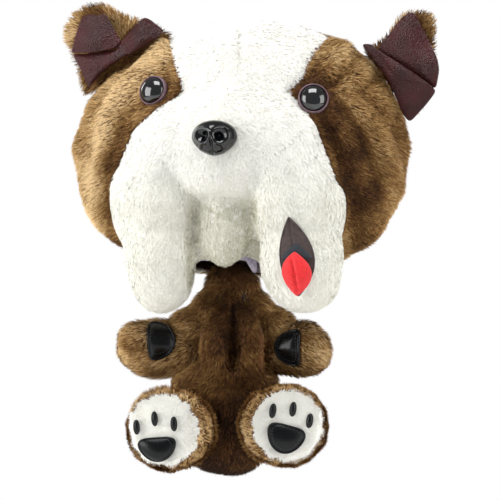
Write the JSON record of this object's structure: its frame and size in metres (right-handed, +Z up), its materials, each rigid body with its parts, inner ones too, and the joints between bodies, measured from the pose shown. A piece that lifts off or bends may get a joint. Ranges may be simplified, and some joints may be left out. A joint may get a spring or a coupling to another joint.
{
  "type": "driver head cover",
  "caption": "Plush bulldog head cover for a golf driver: a stuffed head with a lined pocket over a small body with a sleeve for the shaft.",
  "frame": {"origin": "centre of the opening under the chin, on the club shaft's axis", "axes": "+Z up along the shaft towards the club head, -Y out of the toy's front, +X to the viewer's right"},
  "size_m": [0.2869, 0.1871, 0.3528],
  "materials": {
    "white_plush": "matte",
    "brown_plush": "matte",
    "stuffing": "matte",
    "black_knit": "matte",
    "red_leather": "satin",
    "black_leather": "satin",
    "washer_plastic": "matte",
    "lid_felt": "matte",
    "eye_plastic": "gloss",
    "nose_plastic": "gloss",
    "mouth_felt": "matte",
    "tongue_felt": "matte"
  },
  "bodies": {
    "head": {"forehead_panel": "white_plush", "cheek_panel_left": "brown_plush", "back_panel_left": "brown_plush", "cheek_panel_right": "brown_plush", "back_panel_right": "brown_plush", "face_stuffing_left": "stuffing", "back_stuffing_left": "stuffing", "face_stuffing_right": "stuffing", "back_stuffing_right": "stuffing", "pocket_lining": "black_knit", "muzzle_bridge": "white_plush", "jowl_left": "white_plush", "eye_left": "eye_plastic", "eyelid_left": "lid_felt", "eye_washer_left": "washer_plastic", "jowl_right": "white_plush", "eye_right": "eye_plastic", "eyelid_right": "lid_felt", "eye_washer_right": "washer_plastic", "chin_panel": "white_plush", "nose": "nose_plastic", "nose_washer": "washer_plastic", "mouth_lining": "mouth_felt", "neck_elastic": "black_knit"},
    "tongue": {"tongue": "tongue_felt"},
    "neck": {"neck_cuff": "brown_plush"},
    "torso": {"torso_front_left": "brown_plush", "torso_front_right": "brown_plush", "torso_back": "brown_plush", "torso_stuffing": "stuffing", "shaft_sleeve": "black_knit"},
    "ear_left": {"ear_back_left": "brown_plush", "ear_lining_left": "red_leather"},
    "arm_left": {"arm_cover_left": "brown_plush", "arm_stuffing_left": "stuffing", "arm_pad_left": "black_leather"},
    "leg_left": {"leg_cover_left": "brown_plush", "leg_stuffing_left": "stuffing", "foot_sole_left": "white_plush", "foot_pad_left": "black_leather", "toe_pad_left_1": "black_leather", "toe_pad_left_2": "black_leather", "toe_pad_left_3": "black_leather"},
    "ear_right": {"ear_back_right": "brown_plush", "ear_lining_right": "red_leather"},
    "arm_right": {"arm_cover_right": "brown_plush", "arm_stuffing_right": "stuffing", "arm_pad_right": "black_leather"},
    "leg_right": {"leg_cover_right": "brown_plush", "leg_stuffing_right": "stuffing", "foot_sole_right": "white_plush", "foot_pad_right": "black_leather", "toe_pad_right_1": "black_leather", "toe_pad_right_2": "black_leather", "toe_pad_right_3": "black_leather"}
  },
  "joints": [
    {"name": "neck_turn", "type": "hinge", "parent": "head", "child": "neck", "pos_m": [0, 0, -0.024], "axis": [0, 0, 1], "range_deg": [-20, 20], "stiffness_Nm_per_rad": 1.2},
    {"name": "neck_bend", "type": "hinge", "parent": "neck", "child": "torso", "pos_m": [0, 0, -0.024], "axis": [1, 0, 0], "range_deg": [-5, 20], "stiffness_Nm_per_rad": 2.5, "springref_deg": -1.72},
    {"name": "arm_left_swing", "type": "hinge", "parent": "torso", "child": "arm_left", "pos_m": [-0.037, 0, -0.06], "axis": [0, 0, 1], "range_deg": [-30, 40], "stiffness_Nm_per_rad": 0.2},
    {"name": "arm_right_swing", "type": "hinge", "parent": "torso", "child": "arm_right", "pos_m": [0.037, 0, -0.06], "axis": [0, 0, -1], "range_deg": [-60, 10], "stiffness_Nm_per_rad": 0.2},
    {"name": "leg_left_swing", "type": "hinge", "parent": "torso", "child": "leg_left", "pos_m": [-0.041, -0.024, -0.119], "axis": [1, 0, 0], "range_deg": [-5, 40], "stiffness_Nm_per_rad": 0.6, "springref_deg": -2.29},
    {"name": "leg_right_swing", "type": "hinge", "parent": "torso", "child": "leg_right", "pos_m": [0.038, -0.024, -0.116], "axis": [1, 0, 0], "range_deg": [-5, 40], "stiffness_Nm_per_rad": 0.6, "springref_deg": -2.29},
    {"name": "ear_left_fold", "type": "hinge", "parent": "head", "child": "ear_left", "pos_m": [-0.0796, 0.02734, 0.15641], "axis": [0.7827, -0.1879, 0.5934], "range_deg": [-20, 35], "stiffness_Nm_per_rad": 0.15},
    {"name": "ear_right_fold", "type": "hinge", "parent": "head", "child": "ear_right", "pos_m": [0.11423, -0.0192, 0.13657], "axis": [0.5095, -0.1223, -0.8517], "range_deg": [-20, 35], "stiffness_Nm_per_rad": 0.15},
    {"name": "tongue_lift", "type": "hinge", "parent": "head", "child": "tongue", "pos_m": [0.04721, -0.09464, 0.012], "axis": [-0.9724, 0.2334, 0], "range_deg": [0, 40], "stiffness_Nm_per_rad": 0.05}
  ]
}
